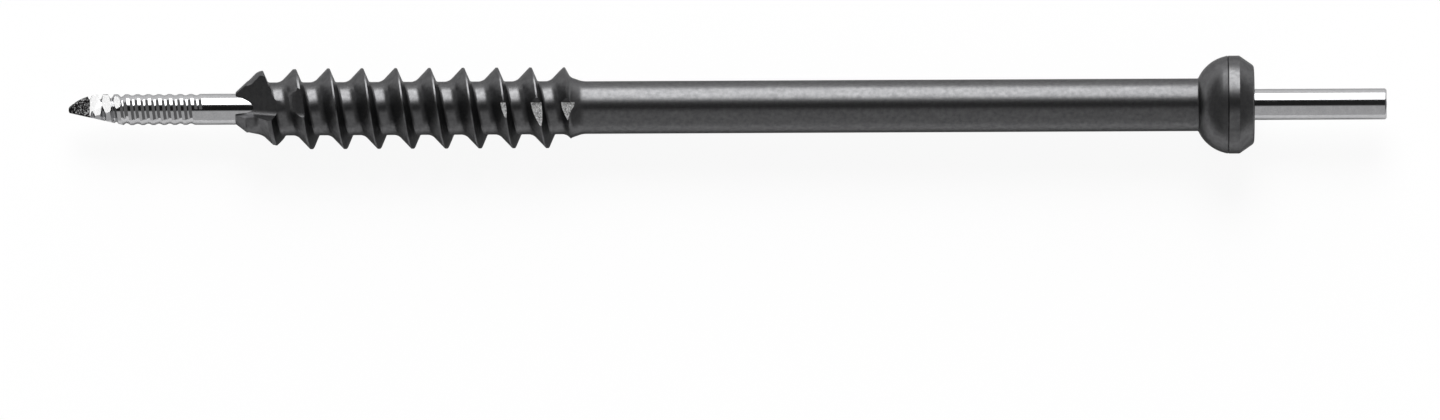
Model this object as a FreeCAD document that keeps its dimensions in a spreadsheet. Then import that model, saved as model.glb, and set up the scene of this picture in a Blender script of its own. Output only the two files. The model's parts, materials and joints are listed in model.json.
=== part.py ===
# Cannulated bone screw lying on a bench with its guide pin through the bore.
#
# Units are millimetres. Both pieces are drawn on one axis, X, with x = 0 at the
# front rim of the screw, the points towards -X and the head towards +X. At the
# end both get the same placement: the screw lies on the floor z = 0 on the rim
# of its head and on the first full turn of its thread.

import FreeCAD, Part
import os
import Sketcher
from FreeCAD import Vector

SIZES = {
    # Guide pin: a ground rod with a three-sided point and a short thread behind it.
    "pin_diameter": 2.8,
    "pin_front_reach": 15.1,
    "pin_rear_reach": 11.94,
    "pin_tip_diameter": 0.4,
    "pin_nose_length": 0.6,
    "pin_nose_diameter": 1.4,
    "pin_point_length": 2.6,
    "pin_facet_angle": 12.7,
    "pin_facet_lead": 1.18,
    "pin_thread_pitch": 0.964,
    "pin_thread_start": 0.2,
    "pin_thread_length": 11.57,
    "pin_thread_depth": 0.16,
    "pin_thread_land": 0.26,
    "pin_end_chamfer": 0.12,
    # Screw blank: bored right through for the pin.
    "screw_length": 91.88,
    "bore_clearance": 0.05,
    "shaft_diameter": 4.75,
    "core_diameter": 4.8,
    "thread_diameter": 7.3,
    "thread_length": 31.0,
    "run_out_length": 1.6,
    "nose_rim": 0.1,
    "nose_length": 2.05,
    "nose_diameter": 6.9,
    "lead_length": 4.62,
    # Bone thread: a deep buttress whose steep flank faces the head.
    "thread_pitch": 3.04,
    "first_crest": 2.27,
    "crest_width": 0.14,
    "steep_flank": 0.5,
    "gentle_flank": 1.18,
    # Three cutting flutes at the nose, open into the bore.
    "flute_angle": 22.4,
    "flute_height": 0.75,
    "flute_wall": 0.25,
    "flute_corner": 0.6,
    "flute_lean_angle": 27.0,
    "flute_reach": 8.0,
    # Three reverse cutting flutes in the last turns of the thread.
    "back_flute_angle": 5.4,
    "back_flute_height": 3.68,
    "back_flute_start": 21.0,
    "back_flute_corner": 0.48,
    "back_flute_steep": 0.9,
    "back_flute_slope": 0.15,
    # Head: spherical seat, narrow band, chamfer and a hexagon socket.
    "head_diameter": 8.84,
    "head_length": 5.04,
    "head_neck_length": 1.0,
    "head_neck_diameter": 7.36,
    "head_seat_radius": 3.0,
    "head_band": 1.09,
    "head_chamfer_length": 1.32,
    "head_chamfer_depth": 0.86,
    "socket_width": 4.0,
    "socket_depth": 3.0,
    "socket_mouth_diameter": 5.2,
    "socket_floor_depth": 0.35,
}

# How far a cutter stands out of the metal, and how far it stays off a surface
# that it would otherwise share.
CUTTING = {
    "air": 0.3,
    "skin": 0.001,
}

# What follows from the driving sizes, in the order in which the cells need it.
# The crest passes the floor side three quarters of a turn after the upper side.
DERIVED = {
    "bore_diameter": "=pin_diameter + 2 * bore_clearance",
    "nose_rim_diameter": "=bore_diameter + 2 * nose_rim",
    "groove_depth": "=(thread_diameter - core_diameter) / 2",
    "groove_top": "=thread_pitch - crest_width",
    "thread_radius": "=thread_diameter / 2",
    "groove_clear": "=thread_radius + air",
    "flute_tangent": "=flute_corner * tan(45 - flute_lean_angle / 2)",
    "head_start": "=screw_length - head_length",
    "band_start": "=screw_length - head_chamfer_length - head_band",
    "pin_length": "=pin_front_reach + screw_length + pin_rear_reach",
    "pin_groove_top": "=pin_thread_pitch - pin_thread_land",
    "rest_turns": "=ceil((nose_length + lead_length - first_crest) / thread_pitch - 0.75)",
    "rest_crest": "=first_crest + (0.75 + rest_turns) * thread_pitch - crest_width / 2",
    "rest_rise": "=(head_diameter - thread_diameter) / 2",
    "rest_angle": "=atan(rest_rise / (band_start - rest_crest))",
    "rest_height": "=thread_diameter / 2 * cos(rest_angle) - rest_crest * sin(rest_angle)",
    "rest_middle": "=(pin_front_reach - screw_length - pin_rear_reach) / 2 * cos(rest_angle)",
}

ALL_CELLS = {**SIZES, **CUTTING, **DERIVED}

# The line about which a cutting flute's section leans, across the screw. It stands
# a little askew, so that the wall also turns away from the axis as it rises.
FLUTE_HINGE = Vector(0.985, 0.17, 0)
FLUTES = 3
POINT_FACETS = 3

doc = FreeCAD.newDocument("cannulated_bone_screw")


def fill_sheet():
    sheet = doc.addObject("Spreadsheet::Sheet", "sizes")
    row = 1
    for alias, value in ALL_CELLS.items():
        sheet.set("A%d" % row, alias)
        sheet.set("B%d" % row, str(value))
        sheet.setAlias("B%d" % row, alias)
        row += 1
    doc.recompute()
    return sheet


sheet = fill_sheet()


def cells(expression):
    """Write an expression of aliases as one that reads the sheet."""
    words = []
    word = ""
    for letter in expression + " ":
        if letter.isalnum() or letter == "_":
            word += letter
            continue
        words.append("sizes." + word if word in ALL_CELLS else word)
        words.append(letter)
        word = ""
    return "".join(words).strip()


def value_of(expression):
    return float(sheet.evalExpression(cells(expression)))


def bind(item, target, expression):
    item.setExpression(target, cells(expression))


def new_body(label):
    body = doc.addObject("PartDesign::Body", label)
    body.Label = label
    return body


def origin_plane(body, role):
    return next(item for item in body.Origin.OriginFeatures if item.Role == role)


def outline(body, name, role, corners, arcs=None):
    """A closed sketch. Each corner is a pair of expressions, and arcs maps the
    number of a side to its radius and the way it bulges."""
    sketch = body.newObject("Sketcher::SketchObject", name)
    sketch.AttachmentSupport = [(origin_plane(body, role), "")]
    sketch.MapMode = "FlatFace"
    arcs = arcs or {}
    points = [Vector(value_of(across), value_of(up), 0) for across, up in corners]
    count = len(points)
    for side in range(count):
        start = points[side]
        end = points[(side + 1) % count]
        if side in arcs:
            radius, bulge = arcs[side]
            chord = end - start
            reach = value_of(radius)
            sagitta = reach - (reach ** 2 - (chord.Length / 2) ** 2) ** 0.5
            outward = Vector(-chord.y, chord.x, 0).normalize() * bulge * sagitta
            middle = (start + end) / 2 + outward
            # A sketch keeps its arcs counterclockwise.
            ends = (end, start) if bulge > 0 else (start, end)
            sketch.addGeometry(Part.Arc(ends[0], middle, ends[1]))
        else:
            sketch.addGeometry(Part.LineSegment(start, end))
    for side in range(count):
        here = end_of(sketch, side, points[side])
        before = end_of(sketch, side - 1 if side else count - 1, points[side])
        sketch.addConstraint(Sketcher.Constraint("Coincident", *before, *here))
        place(sketch, here, "x%d" % side, "DistanceX", -2, corners[side][0], points[side].x)
        place(sketch, here, "y%d" % side, "DistanceY", -1, corners[side][1], points[side].y)
    for side, (radius, bulge) in arcs.items():
        sketch.addConstraint(Sketcher.Constraint("Radius", side, value_of(radius)))
        sketch.renameConstraint(sketch.ConstraintCount - 1, "arc%d" % side)
        bind(sketch, "Constraints.arc%d" % side, radius)
    return sketch


def end_of(sketch, side, point):
    side_start = sketch.Geometry[side].StartPoint
    return (side, 1 if side_start.isEqual(point, 1e-5) else 2)


def place(sketch, here, name, kind, axis, expression, number):
    if expression == "0":
        sketch.addConstraint(Sketcher.Constraint("PointOnObject", *here, axis))
        return
    sketch.addConstraint(Sketcher.Constraint(kind, -1, 1, *here, number))
    sketch.renameConstraint(sketch.ConstraintCount - 1, name)
    bind(sketch, "Constraints." + name, expression)


def revolve(body, kind, sketch, name):
    turned = body.newObject("PartDesign::" + kind, name)
    turned.Profile = sketch
    turned.ReferenceAxis = (sketch, ["H_Axis"])
    turned.Angle = 360
    doc.recompute()
    return turned


def helical_groove(body, sketch, name, pitch, reach):
    """Cut a right-handed helical groove round X, starting at the sketch."""
    groove = body.newObject("PartDesign::SubtractiveHelix", name)
    groove.Profile = sketch
    groove.ReferenceAxis = (sketch, ["H_Axis"])
    groove.Mode = "pitch-height-angle"
    bind(groove, "Pitch", pitch)
    bind(groove, "Height", reach)
    groove.Angle = 0
    groove.LeftHanded = False
    doc.recompute()
    return groove


def pocket(body, sketch, name, depth, both_ways=False):
    cut = body.newObject("PartDesign::Pocket", name)
    cut.Profile = sketch
    cut.Type = "Length"
    bind(cut, "Length", depth)
    cut.Reversed = not both_ways
    cut.Midplane = both_ways
    doc.recompute()
    return cut


def round_the_axis(body, feature, sketch, name, copies):
    pattern = body.newObject("PartDesign::PolarPattern", name)
    pattern.Originals = [feature]
    pattern.Axis = (origin_plane(body, "X_Axis"), [""])
    pattern.Angle = 360
    pattern.Occurrences = copies
    body.Tip = pattern
    doc.recompute()
    return pattern


def tilt_flute(sketch, start, height, angle, hinge):
    """Lean a flute's section, so that its prism rises or falls along the axis."""
    sketch.AttachmentOffset = FreeCAD.Placement(
        Vector(0, value_of(height), value_of(start)),
        FreeCAD.Rotation(hinge, value_of(angle)),
    )
    bind(sketch, ".AttachmentOffset.Base.y", height)
    bind(sketch, ".AttachmentOffset.Base.z", start)
    bind(sketch, ".AttachmentOffset.Rotation.Angle", angle)


def make_guide_pin():
    body = new_body("guide_pin")
    blank = outline(body, "pin_blank", "XZ_Plane", [
        ("-pin_front_reach", "0"),
        ("-pin_front_reach", "pin_tip_diameter / 2"),
        ("pin_nose_length - pin_front_reach", "pin_nose_diameter / 2"),
        ("pin_point_length - pin_front_reach", "pin_diameter / 2"),
        ("pin_length - pin_front_reach - pin_end_chamfer", "pin_diameter / 2"),
        ("pin_length - pin_front_reach", "pin_diameter / 2 - pin_end_chamfer"),
        ("pin_length - pin_front_reach", "0"),
    ])
    revolve(body, "Revolution", blank, "pin_rod")

    # The thread runs in from the air in front of the point and ends in the rod.
    start = "(pin_thread_start - pin_front_reach - 2 * pin_thread_pitch)"
    half_top = "pin_groove_top / 2"
    root = "pin_diameter / 2 - pin_thread_depth"
    section = outline(body, "pin_thread_section", "XZ_Plane", [
        (start + " - " + half_top, "pin_diameter / 2 + air"),
        (start + " - " + half_top, "pin_diameter / 2 + skin"),
        (start, root),
        (start + " + " + half_top, "pin_diameter / 2 + skin"),
        (start + " + " + half_top, "pin_diameter / 2 + air"),
    ])
    helical_groove(body, section, "pin_thread", "pin_thread_pitch",
                   "pin_thread_length + 2 * pin_thread_pitch")

    # Each facet is a plane that leans towards the axis at the point.
    rise = "tan(pin_facet_angle)"
    end = "(pin_diameter / 2 + air)"
    facet = outline(body, "pin_facet_section", "XY_Plane", [
        ("-pin_front_reach - pin_facet_lead", "0"),
        ("-pin_front_reach - pin_facet_lead", "-" + end),
        ("-pin_front_reach - pin_facet_lead + " + end + " / " + rise, "-" + end),
    ])
    ground = pocket(body, facet, "pin_facet", "2 * pin_diameter", both_ways=True)
    round_the_axis(body, ground, facet, "pin_facets", POINT_FACETS)
    return body


def make_screw():
    body = new_body("cannulated_screw")
    taper_end = "nose_length + lead_length"
    blank = outline(body, "screw_blank", "XZ_Plane", [
        ("0", "bore_diameter / 2"),
        ("0", "nose_rim_diameter / 2"),
        ("nose_length", "nose_diameter / 2"),
        (taper_end, "thread_diameter / 2"),
        ("thread_length - run_out_length", "thread_diameter / 2"),
        ("thread_length", "shaft_diameter / 2"),
        ("head_start", "shaft_diameter / 2"),
        ("head_start + head_neck_length", "head_neck_diameter / 2"),
        ("band_start", "head_diameter / 2"),
        ("band_start + head_band", "head_diameter / 2"),
        ("screw_length", "head_diameter / 2 - head_chamfer_depth"),
        ("screw_length", "bore_diameter / 2"),
    ], arcs={7: ("head_seat_radius", 1)})
    revolve(body, "Revolution", blank, "screw_turned")

    # A flute's floor is flat towards one side and turns up into a leaning wall.
    flute = outline(body, "flute_section", "YZ_Plane", [
        ("flute_tangent - flute_wall", "0"),
        ("thread_diameter", "0"),
        ("thread_diameter", "thread_diameter"),
        ("-flute_wall - thread_diameter * tan(flute_lean_angle)", "thread_diameter"),
        ("-flute_wall - flute_tangent * sin(flute_lean_angle)",
         "flute_tangent * cos(flute_lean_angle)"),
    ], arcs={4: ("flute_corner", -1)})
    tilt_flute(flute, "-nose_rim", "flute_height", "-flute_angle", FLUTE_HINGE)
    cut = pocket(body, flute, "flute", "flute_reach")
    round_the_axis(body, cut, flute, "flutes", FLUTES)

    # The reverse flutes deepen towards the head and end in the run-out cone.
    back = outline(body, "back_flute_section", "YZ_Plane", [
        ("back_flute_corner", "0"),
        ("back_flute_corner + back_flute_steep", "groove_depth"),
        ("back_flute_corner + back_flute_steep", "2 * groove_depth"),
        ("-thread_radius", "2 * groove_depth"),
        ("-thread_radius", "back_flute_slope * (thread_radius + back_flute_corner)"),
    ])
    tilt_flute(back, "back_flute_start", "back_flute_height", "back_flute_angle",
               Vector(1, 0, 0))
    back_cut = pocket(body, back, "back_flute",
                      "thread_length + run_out_length / 2 - back_flute_start")
    round_the_axis(body, back_cut, back, "back_flutes", FLUTES)

    # The driver's hexagon is broached into the rear face. A countersink opens its
    # mouth, and its floor falls in a cone to the bore.
    corner = "socket_width / sqrt(3)"
    half = "socket_width / 2"
    hexagon = outline(body, "socket_section", "YZ_Plane", [
        (corner, "0"),
        (corner + " / 2", half),
        ("-" + corner + " / 2", half),
        ("-" + corner, "0"),
        ("-" + corner + " / 2", "-" + half),
        (corner + " / 2", "-" + half),
    ])
    bind(hexagon, ".AttachmentOffset.Base.z", "screw_length - socket_depth")
    pocket(body, hexagon, "socket", "socket_depth + air")
    mouth = outline(body, "socket_mouth_section", "XZ_Plane", [
        ("screw_length - (socket_mouth_diameter - socket_width) / 2", half),
        ("screw_length + air", half),
        ("screw_length + air", "socket_mouth_diameter / 2 + air"),
    ])
    revolve(body, "Groove", mouth, "socket_mouth")
    floor = outline(body, "socket_floor_section", "XZ_Plane", [
        ("screw_length - socket_depth - socket_floor_depth", "bore_diameter / 2"),
        ("screw_length - socket_depth + skin", "bore_diameter / 2"),
        ("screw_length - socket_depth + skin", half),
        ("screw_length - socket_depth", half),
    ])
    revolve(body, "Groove", floor, "socket_floor")

    # The groove starts two turns in front of the nose, where it cuts only air,
    # and leaves the crest through the run-out cone above the shaft.
    start = "(first_crest + thread_pitch / 4 + crest_width / 2 - 2 * thread_pitch)"
    section = outline(body, "thread_section", "XZ_Plane", [
        (start, "groove_clear"),
        (start, "thread_radius + skin"),
        (start + " + steep_flank", "core_diameter / 2"),
        (start + " + groove_top - gentle_flank", "core_diameter / 2"),
        (start + " + groove_top", "thread_radius + skin"),
        (start + " + groove_top", "groove_clear"),
    ])
    helical_groove(body, section, "bone_thread", "thread_pitch",
                   "thread_length + 2 * thread_pitch")
    return body


def lay_down(body):
    """Tip the shared axis, so that the head's rim and a crest touch the floor."""
    body.Placement = FreeCAD.Placement(
        Vector(value_of("rest_middle"), 0, value_of("rest_height")),
        FreeCAD.Rotation(Vector(0, -1, 0), value_of("rest_angle")),
    )
    bind(body, ".Placement.Base.x", "rest_middle")
    bind(body, ".Placement.Base.z", "rest_height")
    bind(body, ".Placement.Rotation.Angle", "rest_angle")


def check(pieces):
    failed = [item.Name for item in doc.Objects
              if "Invalid" in item.State or "Error" in item.State]
    if failed:
        raise RuntimeError("objects that failed: " + ", ".join(failed))
    for piece in pieces:
        shape = piece.Shape
        if shape.isNull() or not shape.isValid() or len(shape.Solids) != 1:
            raise RuntimeError(piece.Label + " is not one valid solid")
        print("%s: %.2f mm3, %d faces" % (piece.Label, shape.Volume, len(shape.Faces)))


pieces = [make_screw(), make_guide_pin()]
for piece in pieces:
    lay_down(piece)
doc.recompute()
check(pieces)

os.makedirs("parts", exist_ok=True)
for piece in pieces:
    piece.Shape.exportStep("parts/%s.step" % piece.Label)
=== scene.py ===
# %% [markdown]
# # A cannulated bone screw on its guide pin
#
# The screw is one turned piece of dark anodised titanium. The steel pin runs right through it.
# Both are symmetrical about one line, so every shape below starts on that line and is spun
# round it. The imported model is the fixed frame: it says where the line lies, and the two
# pieces made here take the places of its two plain ones.

# %% Start from the frame
import json
import math

import bmesh
import bpy
from mathutils import Matrix, Vector


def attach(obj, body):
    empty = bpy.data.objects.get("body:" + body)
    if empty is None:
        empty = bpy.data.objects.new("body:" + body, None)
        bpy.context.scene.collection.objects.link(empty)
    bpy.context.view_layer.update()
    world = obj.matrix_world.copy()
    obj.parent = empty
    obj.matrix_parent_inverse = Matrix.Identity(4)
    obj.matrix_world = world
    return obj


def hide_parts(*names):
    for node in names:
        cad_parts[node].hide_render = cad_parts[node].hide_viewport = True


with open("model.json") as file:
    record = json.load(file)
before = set(bpy.data.objects)
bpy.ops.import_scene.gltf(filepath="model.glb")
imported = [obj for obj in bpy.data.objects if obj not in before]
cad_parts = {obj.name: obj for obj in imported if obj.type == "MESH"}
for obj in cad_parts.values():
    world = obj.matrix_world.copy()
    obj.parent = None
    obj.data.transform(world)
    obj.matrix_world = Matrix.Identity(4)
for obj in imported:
    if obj.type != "MESH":
        bpy.data.objects.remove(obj)
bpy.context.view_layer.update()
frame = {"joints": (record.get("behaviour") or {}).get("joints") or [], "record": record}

# %% [markdown]
# ## One axis for both pieces
#
# It is easiest to draw a turned piece in millimetres along X, with the nose of the screw at
# x = 0 and the head to the right. The real screw doesn't lie level: the head is wider than the
# thread, so the axis climbs by about half a degree. Instead of repeating that angle, the script
# reads it from the frame. The joint gives the direction, the socket's mount gives the rear face,
# and the nose is one screw length in front of that.

# %% The place of the axis
MM = 0.001
SCREW_LENGTH = 91.88

joint_axis = Vector(frame["joints"][0]["axis"]).normalized()
mounts = {mount["name"]: mount for mount in frame["record"]["mounts"]}
rear_face = Vector(mounts["hex_socket"]["pos_m"])
nose_point = rear_face - joint_axis * SCREW_LENGTH * MM
climb = math.atan2(joint_axis.z, joint_axis.x)
INTO_PLACE = (
    Matrix.Translation(nose_point) @ Matrix.Rotation(-climb, 4, "Y") @ Matrix.Scale(MM, 4)
)
print("the axis climbs", round(math.degrees(climb), 3), "degrees")

# %% [markdown]
# ## Finishes
#
# The two metals come first, because a cutter can hand its own material on to the faces that it
# leaves. The screw is titanium, blasted to an even satin and then anodised dark grey. The pin
# is ground steel. Both show the same kinds of unevenness in different amounts: fine grain,
# larger patches that polish a little brighter, and faint rings from the lathe. A node group
# makes all three once, from the object's own coordinates. A Mapping node first turns these by
# the climb of the axis, so that the rings stand square to it.

# %% Noise of two sizes and rings in one node group
def make_grain():
    group = bpy.data.node_groups.new("metal_grain", "ShaderNodeTree")
    for name, value in (("Speck", 0.00006), ("Patch", 0.0005), ("Rings", 0.3)):
        socket = group.interface.new_socket(name, in_out="INPUT", socket_type="NodeSocketFloat")
        socket.default_value = value
    for name in ("Mask", "Height"):
        group.interface.new_socket(name, in_out="OUTPUT", socket_type="NodeSocketFloat")
    nodes = group.nodes
    link = group.links.new
    given = nodes.new("NodeGroupInput")
    result = nodes.new("NodeGroupOutput")
    place = nodes.new("ShaderNodeTexCoord")
    level = nodes.new("ShaderNodeMapping")
    level.inputs["Rotation"].default_value = (0, climb, 0)
    link(place.outputs["Object"], level.inputs["Vector"])

    def noise(size, vector, detail):
        per_metre = nodes.new("ShaderNodeMath")
        per_metre.operation = "DIVIDE"
        per_metre.inputs[0].default_value = 1
        texture = nodes.new("ShaderNodeTexNoise")
        texture.inputs["Detail"].default_value = detail
        link(given.outputs[size], per_metre.inputs[1])
        link(per_metre.outputs["Value"], texture.inputs["Scale"])
        link(vector, texture.inputs["Vector"])
        return texture.outputs["Fac"]

    def weighted(first, second, share):
        mixed = nodes.new("ShaderNodeMix")
        mixed.inputs["Factor"].default_value = share
        link(first, mixed.inputs["A"])
        link(second, mixed.inputs["B"])
        return mixed

    along = nodes.new("ShaderNodeVectorMath")
    along.operation = "MULTIPLY"
    along.inputs[1].default_value = (1, 0.02, 0.02)
    link(level.outputs["Vector"], along.inputs[0])
    specks = noise("Speck", level.outputs["Vector"], 3)
    patches = noise("Patch", level.outputs["Vector"], 2)
    rings = noise("Speck", along.outputs["Vector"], 2)
    both = weighted(specks, patches, 0.5)
    link(both.outputs["Result"], result.inputs["Mask"])
    raised = weighted(specks, rings, 0.3)
    link(given.outputs["Rings"], raised.inputs["Factor"])
    link(raised.outputs["Result"], result.inputs["Height"])
    return group


grain = make_grain()
print("the grain group has", len(grain.nodes), "nodes")

# %% [markdown]
# ## Metals from the grain
#
# Every metal takes two tones and two roughnesses, and the mask mixes them. A metal's base
# colour is what it reflects straight on. The Specular Tint weakens the reflection near the
# silhouette, which a plain metal shader makes almost white, and a thin oxide layer doesn't.
# Numbers that are the same all over the surface, such as Metallic, go into the shader's own
# sockets.

# %% One function for five finishes
EDGE_TINT = 0.5


def metal(name, dark, light, roughness, speck, patch, rings, bump, mask=(0.35, 0.65)):
    """The mask's two limits are where the dark tone ends and the light one is reached."""
    material = bpy.data.materials.new(name)
    material.use_nodes = True
    nodes = material.node_tree.nodes
    link = material.node_tree.links.new
    shader = nodes["Principled BSDF"]
    shader.inputs["Metallic"].default_value = 1
    shader.inputs["Specular Tint"].default_value = (EDGE_TINT, EDGE_TINT, EDGE_TINT, 1)
    surface = nodes.new("ShaderNodeGroup")
    surface.node_tree = grain
    surface.inputs["Speck"].default_value = speck
    surface.inputs["Patch"].default_value = patch
    surface.inputs["Rings"].default_value = rings
    spread = nodes.new("ShaderNodeMapRange")
    spread.inputs["From Min"].default_value = mask[0]
    spread.inputs["From Max"].default_value = mask[1]
    tone = nodes.new("ShaderNodeMix")
    tone.data_type = "RGBA"
    tone.inputs["A"].default_value = (*dark, 1)
    tone.inputs["B"].default_value = (*light, 1)
    rough = nodes.new("ShaderNodeMapRange")
    rough.inputs["To Min"].default_value = roughness[0]
    rough.inputs["To Max"].default_value = roughness[1]
    height = nodes.new("ShaderNodeBump")
    height.inputs["Strength"].default_value = bump
    height.inputs["Distance"].default_value = speck / 4
    link(surface.outputs["Mask"], spread.inputs["Value"])
    link(spread.outputs["Result"], tone.inputs["Factor"])
    link(spread.outputs["Result"], rough.inputs["Value"])
    link(surface.outputs["Height"], height.inputs["Height"])
    link(tone.outputs["Result"], shader.inputs["Base Color"])
    link(rough.outputs["Result"], shader.inputs["Roughness"])
    link(height.outputs["Normal"], shader.inputs["Normal"])
    return material


titanium = metal("dark_titanium", (0.1, 0.1, 0.103), (0.15, 0.15, 0.153), (0.36, 0.29),
                 0.00006, 0.0004, 0.3, 0.35)
facet_metal = metal("ground_facet", (0.16, 0.16, 0.16), (0.85, 0.85, 0.85), (0.5, 0.45),
                    0.0001, 0.0002, 0.0, 0.8)
steel = metal("ground_steel", (0.46, 0.46, 0.47), (0.54, 0.54, 0.55), (0.14, 0.08),
              0.00012, 0.0006, 0.4, 0.06)
# A near-black tone for the tip of the pin, far darker than the rest of the rod.
point_metal = metal("dark_point", (0.006, 0.006, 0.006), (0.3, 0.3, 0.3), (0.5, 0.35),
                    0.00012, 0.0002, 0.0, 0.8, (0.5, 0.66))
flat_metal = metal("ground_flat", (0.5, 0.5, 0.5), (0.62, 0.62, 0.62), (0.36, 0.28),
                   0.00012, 0.0004, 0.0, 0.1)
SCREW_METALS = [titanium, facet_metal]
PIN_METALS = [steel, point_metal, flat_metal]
print("finishes:", ", ".join(finish.name for finish in SCREW_METALS + PIN_METALS))


def coat(piece, metals):
    piece.data.materials.clear()
    for material in metals:
        piece.data.materials.append(material)


# %% [markdown]
# ## Tools for turned shapes
#
# A lathe needs three helpers. `outline` joins corners, given as distance along the axis and
# distance from it, into one flat face. `soften` rounds chosen corners of that face with a vertex
# bevel, the way a tool bit with a small nose radius would. `turn` drops the face, keeps its
# edge and spins it through a full circle. With `use_merge`, the last step closes on the first.

# %% Outline, soften and turn
ROUND = 2 * math.pi


def outline(bm, corners):
    """One face in the plane of X and Z, from (along, out) pairs."""
    return bm.faces.new([bm.verts.new((along, 0, out)) for along, out in corners])


def soften(bm, along, out, reach, segments=4):
    """Round the corner that stands nearest to this place."""
    place = Vector((along, 0, out))
    corner = min(bm.verts, key=lambda vert: (vert.co - place).length)
    bmesh.ops.bevel(bm, geom=[corner], offset=reach, offset_type="OFFSET", segments=segments,
                    profile=0.5, affect="VERTICES", material=-1)


def turn(bm, steps):
    """Spin the outline's edge once round the axis."""
    bmesh.ops.delete(bm, geom=list(bm.faces), context="FACES_ONLY")
    bmesh.ops.spin(bm, geom=list(bm.verts) + list(bm.edges), cent=(0, 0, 0), axis=(1, 0, 0),
                   angle=ROUND, steps=steps, use_merge=True)
    bmesh.ops.remove_doubles(bm, verts=bm.verts, dist=1e-5)
    bmesh.ops.recalc_face_normals(bm, faces=bm.faces)


def as_object(bm, name):
    mesh = bpy.data.meshes.new(name)
    bm.to_mesh(mesh)
    bm.free()
    made = bpy.data.objects.new(name, mesh)
    bpy.context.scene.collection.objects.link(made)
    return made


# %% [markdown]
# ## Cutting with other shapes
#
# Threads and flutes are cut into the blank on the real machine, and a Boolean modifier does the
# same. `cut_away` gives the piece one Difference after another and then keeps the result as a
# plain mesh. The exact solver is slower than the fast one, but it stays clean where a cutter
# only grazes the surface, as every thread does at its crest.

# %% A helper that cuts
def cut_away(piece, cutters):
    for cutter in cutters:
        difference = piece.modifiers.new(cutter.name, "BOOLEAN")
        difference.operation = "DIFFERENCE"
        difference.solver = "EXACT"
        difference.object = cutter
    depsgraph = bpy.context.evaluated_depsgraph_get()
    result = bpy.data.meshes.new_from_object(piece.evaluated_get(depsgraph))
    piece.modifiers.clear()
    piece.data = result
    for cutter in cutters:
        bpy.data.objects.remove(cutter)
    print(piece.name, "has", len(result.polygons), "faces after", len(cutters), "cuts")


# %% [markdown]
# ## The blank of the screw
#
# Before any thread is cut, the screw is a stepped rod with a hole through it: a bullet nose, a
# stretch at full thread diameter, the plain shaft and the head. The head's seat is an arc that
# swings from the shaft almost to the band, where a fine line is scribed. The rear end already
# holds the round part of the socket, a countersunk mouth and a drilled floor. The run-out behind
# the thread falls steeply to a knee and then runs gently into the shaft.

# %% Sizes of the blank
BORE = 1.45
THREAD_RADIUS = 3.65
CORE_RADIUS = 2.4
SHAFT_RADIUS = 2.375
NOSE_LENGTH = 2.05
NOSE_RADIUS = 3.45
NOSE_RIM = 0.1
LEAD_END = 6.67
RUN_OUT_START = 29.72
RUN_OUT_KNEE = (30.2, 2.76)
THREAD_END = 31.3
HEAD_START = SCREW_LENGTH - 5.04
HEAD_RADIUS = 4.42
SEAT_RADIUS = 3.5
SEAT_END = (89.2, 4.345)
SCRIBED = 0.06
BAND_LENGTH = 1.09
CHAMFER_LENGTH = 1.32
REAR_RADIUS = 3.5
BAND_START = SCREW_LENGTH - CHAMFER_LENGTH - BAND_LENGTH
SOCKET_WIDTH = 4.0
SOCKET_FLOOR = SCREW_LENGTH - 3.0
SOCKET_DRILL = 1.95
MOUTH_RADIUS = 2.6
MOUTH_DEPTH = 0.65
DRILL_DEPTH = 0.03
FLOOR_CONE = 0.35
SCREW_STEPS = 160


# %% A rounded stretch of an outline
def arc(start, end, radius, steps):
    """Points between two corners, on an arc that bulges away from the axis."""
    start = Vector(start)
    chord = Vector(end) - start
    outward = Vector((-chord.y, chord.x)).normalized()
    depth = math.sqrt(radius ** 2 - (chord.length / 2) ** 2)
    middle = start + chord / 2 - outward * depth
    first = start - middle
    sweep = 2 * math.asin(chord.length / 2 / radius)
    points = []
    for step in range(1, steps):
        points.append(middle + Matrix.Rotation(-sweep * step / steps, 2) @ first)
    return [(point.x, point.y) for point in points]


# %% Turn the blank
def make_blank():
    bm = bmesh.new()
    neck = (HEAD_START, SHAFT_RADIUS)
    corners = [
        (0, BORE), (0, BORE + NOSE_RIM), (NOSE_LENGTH, NOSE_RADIUS), (LEAD_END, THREAD_RADIUS),
        (RUN_OUT_START, THREAD_RADIUS), RUN_OUT_KNEE, (THREAD_END, SHAFT_RADIUS),
        neck, *arc(neck, SEAT_END, SEAT_RADIUS, 28), SEAT_END, (BAND_START, HEAD_RADIUS),
        (BAND_START + SCRIBED, HEAD_RADIUS - SCRIBED), (BAND_START + 2 * SCRIBED, HEAD_RADIUS),
        (BAND_START + BAND_LENGTH, HEAD_RADIUS), (SCREW_LENGTH, REAR_RADIUS),
        (SCREW_LENGTH, MOUTH_RADIUS), (SCREW_LENGTH - MOUTH_DEPTH, SOCKET_DRILL),
        (SOCKET_FLOOR - DRILL_DEPTH, SOCKET_DRILL), (SOCKET_FLOOR - FLOOR_CONE, BORE),
    ]
    outline(bm, corners)
    soften(bm, *RUN_OUT_KNEE, 0.25, 6)
    soften(bm, THREAD_END, SHAFT_RADIUS, 0.3, 6)
    soften(bm, *neck, 0.08, 3)
    soften(bm, *SEAT_END, 0.1, 4)
    soften(bm, NOSE_LENGTH, NOSE_RADIUS, 0.35, 6)
    soften(bm, BAND_START + BAND_LENGTH, HEAD_RADIUS, 0.05, 3)
    soften(bm, SCREW_LENGTH, REAR_RADIUS, 0.2, 6)
    soften(bm, SCREW_LENGTH, MOUTH_RADIUS, 0.04, 2)
    turn(bm, SCREW_STEPS)
    blank = as_object(bm, "screw")
    coat(blank, SCREW_METALS)
    return blank


screw = make_blank()
print("blank:", len(screw.data.polygons), "faces")

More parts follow.
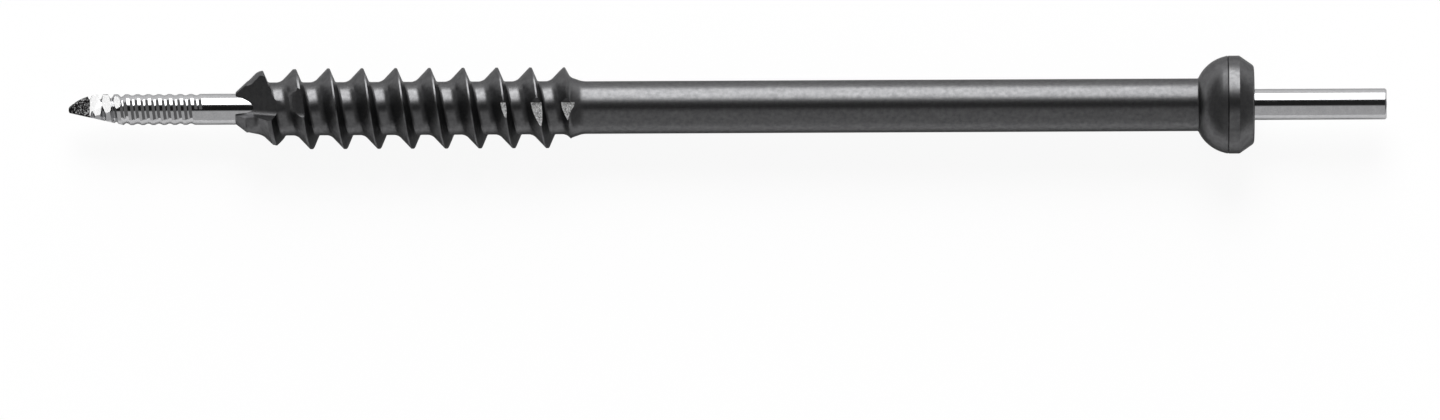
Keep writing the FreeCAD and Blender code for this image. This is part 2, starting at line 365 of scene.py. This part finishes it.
# %% [markdown]
# ## The bone thread
#
# A thread for bone is deep and thin, with one steep flank that faces the head and takes the
# pull. What the cutter removes is a groove, so the groove is what gets modelled: its section,
# spun with a push along the axis at every step. The spin's `dvec` is that push. Half a turn is
# spun, because the operator slows down with every step it has made. The rest are copies, each
# turned and pushed on by one half more, and their ends merge. The groove begins two turns in
# front of the nose, in the air, because a real cutter is at full depth before it meets the
# metal. It stops before it would cut behind the last crest.

# %% Sizes of the thread
PITCH = 3.04
FIRST_CREST = 2.27
CREST_WIDTH = 0.14
STEEP_FLANK = 0.5
GENTLE_FLANK = 1.18
GROOVE_END = 28.94
HALF_TURN_STEPS = 72
AIR = 0.3


# %% Spin a groove
def helical_groove(name, section, rounding, pitch, halves):
    """A cutter that winds right-handed about X from a closed section."""
    bm = bmesh.new()
    outline(bm, section)
    for along, out, reach, segments in rounding:
        soften(bm, along, out, reach, segments)
    bmesh.ops.delete(bm, geom=list(bm.faces), context="FACES_ONLY")
    bmesh.ops.spin(bm, geom=list(bm.verts) + list(bm.edges), cent=(0, 0, 0), axis=(1, 0, 0),
                   dvec=(pitch / 2 / HALF_TURN_STEPS, 0, 0), angle=ROUND / 2,
                   steps=HALF_TURN_STEPS)
    first_half = list(bm.verts) + list(bm.edges) + list(bm.faces)
    for number in range(1, halves):
        copied = bmesh.ops.duplicate(bm, geom=first_half)["geom"]
        moved = [item for item in copied if isinstance(item, bmesh.types.BMVert)]
        push = Matrix.Translation((pitch / 2 * number, 0, 0))
        bmesh.ops.transform(bm, verts=moved,
                            matrix=push @ Matrix.Rotation(ROUND / 2 * number, 4, "X"))
    bmesh.ops.remove_doubles(bm, verts=bm.verts, dist=1e-4)
    ends = [edge for edge in bm.edges if edge.is_boundary]
    bmesh.ops.holes_fill(bm, edges=ends, sides=0)
    bmesh.ops.recalc_face_normals(bm, faces=bm.faces)
    print(name, "has", sum(1 for edge in bm.edges if edge.is_boundary), "open edges")
    return as_object(bm, name)


# %% The section of the bone thread
def make_bone_groove():
    start = FIRST_CREST + PITCH / 4 + CREST_WIDTH / 2 - 2 * PITCH
    top = start + PITCH - CREST_WIDTH
    clear = THREAD_RADIUS + AIR
    deeper = (clear - CORE_RADIUS) / (THREAD_RADIUS - CORE_RADIUS)
    root = (start + STEEP_FLANK, top - GENTLE_FLANK)
    section = [(root[0] - STEEP_FLANK * deeper, clear), (root[0], CORE_RADIUS),
               (root[1], CORE_RADIUS), (root[1] + GENTLE_FLANK * deeper, clear)]
    rounding = [(root[0], CORE_RADIUS, 0.22, 5), (root[1], CORE_RADIUS, 0.4, 6)]
    halves = round((GROOVE_END - start) / PITCH * 2)
    return helical_groove("bone_groove", section, rounding, PITCH, halves)


# %% [markdown]
# ## Cutting flutes at the nose
#
# Three flutes let the screw cut its own way in. Each is a prism with a flat floor and a wall,
# and a large radius between them. It starts low at the nose, where it opens into the bore, and
# climbs out of the thread. The prism is drawn upright, pushed out by an extrusion, and then
# leaned and moved. A last turn about the axis gives the three places.

# %% Sizes of the flutes
FLUTES = 3
FLUTE_CLIMB = math.radians(22.4)
FLUTE_HEIGHT = 0.75
FLUTE_WALL = 0.25
FLUTE_CORNER = 0.6
FLUTE_LEAN = math.radians(27)
FLUTE_REACH = 8.0
FLUTE_HINGE = Vector((0.985, 0.17, 0))


# %% A prism along the axis, at one of three places
def prism(name, section, rounding, length, lean, place):
    """Push a section out along the axis. It is drawn with Y across and Z up."""
    bm = bmesh.new()
    bm.faces.new([bm.verts.new((across, up, 0)) for across, up in section])
    for across, up, reach, segments in rounding:
        corner = min(bm.verts, key=lambda vert: (vert.co - Vector((across, up, 0))).length)
        bmesh.ops.bevel(bm, geom=[corner], offset=reach, offset_type="OFFSET",
                        segments=segments, profile=0.5, affect="VERTICES", material=-1)
    face = bm.faces[:][0]
    pushed = bmesh.ops.extrude_face_region(bm, geom=[face], use_keep_orig=True)["geom"]
    far_end = [item for item in pushed if isinstance(item, bmesh.types.BMVert)]
    bmesh.ops.translate(bm, verts=far_end, vec=(0, 0, length))
    upright = Matrix(((0, 0, 1, 0), (1, 0, 0, 0), (0, 1, 0, 0), (0, 0, 0, 1)))
    bmesh.ops.transform(bm, verts=bm.verts, matrix=upright @ place @ lean)
    bmesh.ops.recalc_face_normals(bm, faces=bm.faces)
    return as_object(bm, name)


def three_round_the_axis(maker):
    cutters = []
    for number in range(FLUTES):
        cutter = maker()
        cutter.data.transform(Matrix.Rotation(ROUND * number / FLUTES, 4, "X"))
        cutters.append(cutter)
    return cutters


# %% The section of a flute
def make_flute():
    far = 2 * THREAD_RADIUS
    leaned = far * math.tan(FLUTE_LEAN)
    section = [(-FLUTE_WALL, 0), (far, 0), (far, far), (-FLUTE_WALL - leaned, far)]
    tangent = FLUTE_CORNER * math.tan(math.pi / 4 - FLUTE_LEAN / 2)
    rounding = [(-FLUTE_WALL, 0, tangent, 12)]
    lean = Matrix.Rotation(-FLUTE_CLIMB, 4, FLUTE_HINGE)
    place = Matrix.Translation((0, FLUTE_HEIGHT, -NOSE_RIM))
    return prism("flute", section, rounding, FLUTE_REACH, lean, place)


# %% [markdown]
# ## Reverse flutes at the rear of the thread
#
# When the bone has healed, the screw has to cut its way out again. Its last three turns have a
# small notch each, three times round. The notch has a steep wall, and a floor that drops
# towards the head, so that every turn is cut a little deeper than the one before it. The floor
# is ground bare, so the cutter carries two materials: the Boolean gives every new face the
# material of the cutter's face that made it.

# %% Sizes of the reverse flutes
BACK_CLIMB = math.radians(7)
BACK_HEIGHT = 3.75
BACK_START = 21.0
BACK_CORNER = 0.48
BACK_STEEP = 0.9
BACK_SLOPE = 0.15
GROOVE_DEPTH = THREAD_RADIUS - CORE_RADIUS


# %% The section of a reverse flute
def make_back_flute():
    wall = BACK_CORNER + BACK_STEEP
    far = -THREAD_RADIUS
    section = [(BACK_CORNER, 0), (wall, GROOVE_DEPTH), (wall, 2 * GROOVE_DEPTH),
               (far, 2 * GROOVE_DEPTH), (far, BACK_SLOPE * (BACK_CORNER - far))]
    lean = Matrix.Rotation(BACK_CLIMB, 4, "X")
    place = Matrix.Translation((0, BACK_HEIGHT, BACK_START))
    length = THREAD_END + AIR - BACK_START
    cutter = prism("back_flute", section, [], length, lean, place)
    coat(cutter, SCREW_METALS)
    floor = min(cutter.data.polygons, key=lambda face: face.normal.z)
    floor.material_index = SCREW_METALS.index(facet_metal)
    return cutter


# %% [markdown]
# ## The driver's socket
#
# The photograph doesn't show the rear face straight on, but the pin comes out of it, and a
# screw like this is driven by a hollow hexagon key. Six sides come from a cone with equal ends.
# With all cutters ready, the blank is cut in one go: flutes, socket, and the thread last.

# %% Broach the hexagon
def make_hexagon():
    bm = bmesh.new()
    corner = SOCKET_WIDTH / math.sqrt(3)
    depth = SCREW_LENGTH + AIR - SOCKET_FLOOR
    bmesh.ops.create_cone(bm, cap_ends=True, segments=6, radius1=corner, radius2=corner,
                          depth=depth)
    upright = Matrix.Rotation(math.pi / 2, 4, "Y")
    middle = Matrix.Translation((SOCKET_FLOOR + depth / 2, 0, 0))
    sixth = Matrix.Rotation(math.pi / 6, 4, "X")
    bmesh.ops.transform(bm, verts=bm.verts, matrix=middle @ sixth @ upright)
    return as_object(bm, "hexagon")


# %% Cut the screw
cut_away(screw, three_round_the_axis(make_flute) + three_round_the_axis(make_back_flute)
         + [make_hexagon(), make_bone_groove()])

# %% [markdown]
# ## The guide pin
#
# The pin is a ground rod with a three-sided point and a fine thread behind it. The outline of
# the point is an arc, and a ring of edges just behind the thread, at ROD_RING, keeps its cuts
# away from the long faces of the rod. On polished steel every uneven face would show as a kink
# in the reflection. The thread's groove is a helix like the screw's, but its first turns are
# pushed deeper into the rod, because the point's thread has to bite before the rest follows.

# %% Sizes of the pin
PIN_RADIUS = 1.4
PIN_TIP = -15.1
PIN_END = SCREW_LENGTH + 11.94
TIP_RADIUS = 0.2
POINT_LENGTH = 3.0
PIN_CHAMFER = 0.12
PIN_STEPS = 128
ROD_RING = -2.4
PIN_PITCH = 0.964
PIN_CREST = -10.8
PIN_THREAD_END = -3.33
PIN_THREAD_DEPTH = 0.16
PIN_LAND = 0.26
DEEP_END = -9.5
DEEPEST = 0.45
WIDEST = -0.1
FACETS = 3
FACET_CLIMB = math.radians(12.7)
FACET_LEAD = 1.18
DARK_POINT_END = -13.16


# %% Turn the rod
def make_rod():
    bm = bmesh.new()
    tip = (PIN_TIP, TIP_RADIUS)
    behind = (PIN_TIP + POINT_LENGTH, PIN_RADIUS)
    swell = PIN_RADIUS - TIP_RADIUS
    bulge = (POINT_LENGTH ** 2 + swell ** 2) / (2 * swell)
    corners = [(PIN_TIP, 0), tip, *arc(tip, behind, bulge, 14), behind, (ROD_RING, PIN_RADIUS),
               (PIN_END - PIN_CHAMFER, PIN_RADIUS), (PIN_END, PIN_RADIUS - PIN_CHAMFER),
               (PIN_END, 0)]
    outline(bm, corners)
    soften(bm, *tip, 0.1, 4)
    soften(bm, PIN_END - PIN_CHAMFER, PIN_RADIUS, 0.04, 2)
    bmesh.ops.delete(bm, geom=[edge for edge in bm.edges
                               if all(vert.co.z < 1e-6 for vert in edge.verts)],
                     context="EDGES")
    turn(bm, PIN_STEPS)
    rod = as_object(bm, "guide_rod")
    coat(rod, PIN_METALS)
    return rod


# %% Move the groove's vertices to make it deeper towards the point
def make_pin_groove():
    first = PIN_CREST + 0.75 * PIN_PITCH
    before = math.ceil((first - PIN_TIP) / PIN_PITCH) + 1
    start = first - before * PIN_PITCH
    half = (PIN_PITCH - PIN_LAND) / 2
    root = PIN_RADIUS - PIN_THREAD_DEPTH
    clear = PIN_RADIUS + AIR
    reach = half * (clear - root) / PIN_THREAD_DEPTH
    section = [(start - half, clear), (start - half, PIN_RADIUS), (start, root),
               (start + half, PIN_RADIUS), (start + half, clear)]
    rounding = [(start, root, 0.16, 5)]
    halves = round((PIN_THREAD_END - start) / PIN_PITCH * 2)
    groove = helical_groove("pin_groove", section, rounding, PIN_PITCH, halves)
    for vert in groove.data.vertices:
        along, across, up = vert.co
        if along > DEEP_END:
            continue
        out = math.hypot(across, up)
        share = min(1, (DEEP_END - along) / (DEEP_END - PIN_TIP - POINT_LENGTH))
        turns_here = (along - start) / PIN_PITCH + math.atan2(across, up) / ROUND
        from_middle = (turns_here - round(turns_here)) * PIN_PITCH
        vert.co.x += WIDEST * share * from_middle / half
        deeper = DEEPEST * share * max(0, PIN_RADIUS - out) / PIN_THREAD_DEPTH
        vert.co.yz *= (out - deeper) / out
    return groove


guide_rod = make_rod()
cut_away(guide_rod, [make_pin_groove()])

# %% [markdown]
# ## The three-sided point
#
# Each facet is one plane, and `bisect_plane` with `clear_outer` takes away what stands in front
# of it. The cut leaves a hole, which is filled before the next cut, and the new faces get a
# coarser ground finish. The tip is also coloured nearly black: one more plane, which removes
# nothing, splits the faces where the dark colour begins.

# %% Grind the point
def grind_point(piece):
    bm = bmesh.new()
    bm.from_mesh(piece.data)
    for number in range(FACETS):
        spot = Matrix.Rotation(ROUND * number / FACETS, 4, "X")
        away = spot @ Vector((-math.sin(FACET_CLIMB), -math.cos(FACET_CLIMB), 0))
        cut = bmesh.ops.bisect_plane(
            bm, geom=list(bm.verts) + list(bm.edges) + list(bm.faces), dist=1e-6,
            plane_co=(PIN_TIP - FACET_LEAD, 0, 0), plane_no=away, clear_outer=True)
        rim = [item for item in cut["geom_cut"] if isinstance(item, bmesh.types.BMEdge)]
        for face in bmesh.ops.holes_fill(bm, edges=rim, sides=0)["faces"]:
            face.material_index = PIN_METALS.index(flat_metal)
    bmesh.ops.bisect_plane(bm, geom=list(bm.verts) + list(bm.edges) + list(bm.faces), dist=1e-6,
                           plane_co=(DARK_POINT_END, 0, 0), plane_no=(1, 0, 0))
    # Faces in front of that plane take the near-black tone.
    for face in bm.faces:
        if face.calc_center_median().x < DARK_POINT_END:
            face.material_index = PIN_METALS.index(point_metal)
    print("point:", sum(1 for edge in bm.edges if edge.is_boundary), "open edges")
    bm.to_mesh(piece.data)
    bm.free()


grind_point(guide_rod)

# %% [markdown]
# ## Put both in place
#
# So far the pieces lie on X in millimetres. One matrix takes their points to their place in
# metres. Smooth shading then blends all faces that meet at a small angle, and every sharper
# edge stays crisp. The limit is lower for the pin, because its thread is so shallow.

# %% Place and shade
def settle(piece, body, node, crisp):
    piece.data.transform(INTO_PLACE)
    piece.data.shade_smooth()
    piece.data.set_sharp_from_angle(angle=math.radians(crisp))
    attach(piece, body)
    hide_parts(node)


settle(screw, "screw", "cannulated_screw", 28)
settle(guide_rod, "pin", "guide_pin", 20)
print("both pieces are in place")

# %% [markdown]
# ## White paper
#
# The photograph's ground is plain white. A sheet under plain light comes out a little grey, so
# most of what the camera sees of it is its own glow, and the rest is paper that keeps a faint
# shadow. Glossy and transmission rays see a little of the glow too, but they mostly meet
# ordinary paper: the undersides in the photograph are dark, because they face their own shadow.

# %% A floor that glows for the camera
PAPER = 0.9
GLOW_SHARE = 0.92
MIRROR_SHARE = 0.1


def make_floor():
    bm = bmesh.new()
    bmesh.ops.create_circle(bm, cap_ends=True, segments=96, radius=3)
    floor = as_object(bm, "floor")
    material = bpy.data.materials.new("white_paper")
    material.use_nodes = True
    nodes = material.node_tree.nodes
    link = material.node_tree.links.new
    nodes.clear()
    paper = nodes.new("ShaderNodeBsdfDiffuse")
    paper.inputs["Color"].default_value = (PAPER, PAPER, PAPER, 1)
    glow = nodes.new("ShaderNodeEmission")
    rays = nodes.new("ShaderNodeLightPath")
    seen = nodes.new("ShaderNodeMath")
    seen.operation = "MULTIPLY"
    seen.inputs[1].default_value = GLOW_SHARE
    mirrored = nodes.new("ShaderNodeMath")
    part = nodes.new("ShaderNodeMath")
    part.operation = "MULTIPLY_ADD"
    part.inputs[1].default_value = MIRROR_SHARE
    both = nodes.new("ShaderNodeMixShader")
    result = nodes.new("ShaderNodeOutputMaterial")
    link(rays.outputs["Is Camera Ray"], seen.inputs[0])
    link(rays.outputs["Is Glossy Ray"], mirrored.inputs[0])
    link(rays.outputs["Is Transmission Ray"], mirrored.inputs[1])
    link(mirrored.outputs["Value"], part.inputs[0])
    link(seen.outputs["Value"], part.inputs[2])
    link(part.outputs["Value"], both.inputs["Fac"])
    link(paper.outputs["BSDF"], both.inputs[1])
    link(glow.outputs["Emission"], both.inputs[2])
    link(both.outputs["Shader"], result.inputs["Surface"])
    floor.data.materials.append(material)


make_floor()
print("the floor glows by", GLOW_SHARE, "for the camera and", MIRROR_SHARE, "for mirrors")

# %% [markdown]
# ## Light read from the pin
#
# A polished rod is a map of the room. Across the pin the photograph shows a broad white band, a
# hard black line and a grey lower half, so there was a large soft box on the far side, a dark
# camera overhead and a pale card on the near side. The world makes that tent from the
# direction's angle about the X axis, which the color ramp turns into brightness. Towards the two
# ends of the screw it was dark, because the flanks of the thread are nearly black. There the
# tent closes to one low side level. Near the horizon a soft strip lifts the light again.

# %% The tent as a world of directions
TENT_STRENGTH = 5.0
TENT = [(-90, 0.12), (-16, 0.12), (-8, 0.003), (31, 0.003), (42, 1.0), (90, 1.0)]
OPEN_SIDE = 0.2
DARK_SIDE = 0.48
SIDE_LEVEL = 0.035
HORIZON = 0.2
HORIZON_HEIGHT = 0.06


def make_world():
    world = bpy.data.worlds.new("light_tent")
    bpy.context.scene.world = world
    world.use_nodes = True
    nodes = world.node_tree.nodes
    link = world.node_tree.links.new
    background = nodes["Background"]
    background.inputs["Strength"].default_value = TENT_STRENGTH
    place = nodes.new("ShaderNodeTexCoord")
    parts = nodes.new("ShaderNodeSeparateXYZ")
    angle = nodes.new("ShaderNodeMath")
    angle.operation = "ARCTAN2"
    share = nodes.new("ShaderNodeMapRange")
    share.inputs["From Min"].default_value = -math.pi / 2
    share.inputs["From Max"].default_value = math.pi / 2
    ramp = nodes.new("ShaderNodeValToRGB")
    elements = ramp.color_ramp.elements
    elements.remove(elements[-1])
    for number, (degrees, value) in enumerate(TENT):
        spot = degrees / 180 + 0.5
        stop = elements[0] if number == 0 else elements.new(spot)
        stop.position = spot
        stop.color = (value, value, value, 1)
    aside = nodes.new("ShaderNodeMath")
    aside.operation = "ABSOLUTE"
    closing = nodes.new("ShaderNodeMapRange")
    closing.interpolation_type = "SMOOTHSTEP"
    closing.inputs["From Min"].default_value = OPEN_SIDE
    closing.inputs["From Max"].default_value = DARK_SIDE
    closing.inputs["To Min"].default_value = 1
    closing.inputs["To Max"].default_value = 0
    low = nodes.new("ShaderNodeMapRange")
    low.inputs["From Max"].default_value = HORIZON_HEIGHT
    low.inputs["To Min"].default_value = HORIZON
    low.inputs["To Max"].default_value = 0
    tent = nodes.new("ShaderNodeMix")
    tent.inputs["A"].default_value = SIDE_LEVEL
    whole = nodes.new("ShaderNodeMath")
    whole.operation = "MAXIMUM"
    link(place.outputs["Generated"], parts.inputs["Vector"])
    link(parts.outputs["Y"], angle.inputs[0])
    link(parts.outputs["Z"], angle.inputs[1])
    link(angle.outputs["Value"], share.inputs["Value"])
    link(share.outputs["Result"], ramp.inputs["Fac"])
    link(parts.outputs["X"], aside.inputs[0])
    link(aside.outputs["Value"], closing.inputs["Value"])
    link(closing.outputs["Result"], tent.inputs["Factor"])
    link(ramp.outputs["Color"], tent.inputs["B"])
    link(parts.outputs["Z"], low.inputs["Value"])
    link(tent.outputs["Result"], whole.inputs[0])
    link(low.outputs["Result"], whole.inputs[1])
    link(whole.outputs["Value"], background.inputs["Color"])


make_world()
print("the tent closes between", OPEN_SIDE, "and", DARK_SIDE, "of the way to the ends")

# %% [markdown]
# ## A lamp for the paper
#
# The lamp stands where the soft box is, on the far side, and throws the shadow towards the near
# side. It only lights the paper: the tent already is what the metal shows, so the lamp is kept
# out of reflections.

# %% Lamp on the far side
LAMP_REACH = 0.9
lamp_data = bpy.data.lights.new("far_side", "AREA")
lamp_data.shape = "DISK"
lamp_data.size = 0.6
lamp_data.energy = 11
lamp = bpy.data.objects.new("far_side", lamp_data)
bpy.context.scene.collection.objects.link(lamp)
lamp.location = (0, LAMP_REACH, LAMP_REACH)
lamp.rotation_euler = (math.radians(-45), 0, 0)
lamp.visible_camera = False
lamp.visible_glossy = False
print("lamp:", lamp_data.energy, "W from the far side")

# %% [markdown]
# ## The camera
#
# The photograph was taken from straight above with a long lens: the two ends of the screw look
# the same way. The lens follows from the width of the view and the distance, by similar
# triangles. The quarter degree of roll matches the slight slope of the screw in the picture.

# %% Look straight down
VIEW_WIDTH = 0.1303
DISTANCE = 1.5
SENSOR = 36.0
camera_data = bpy.data.cameras.new("camera")
camera_data.sensor_width = SENSOR
camera_data.lens = SENSOR * DISTANCE / VIEW_WIDTH
camera = bpy.data.objects.new("camera", camera_data)
bpy.context.scene.collection.objects.link(camera)
camera.location = (-0.0007, -0.0093, DISTANCE)
camera.rotation_euler = (0, 0, math.radians(-0.26))
bpy.context.scene.camera = camera
bpy.context.scene.view_settings.view_transform = "Standard"
print("lens:", round(camera_data.lens), "mm")
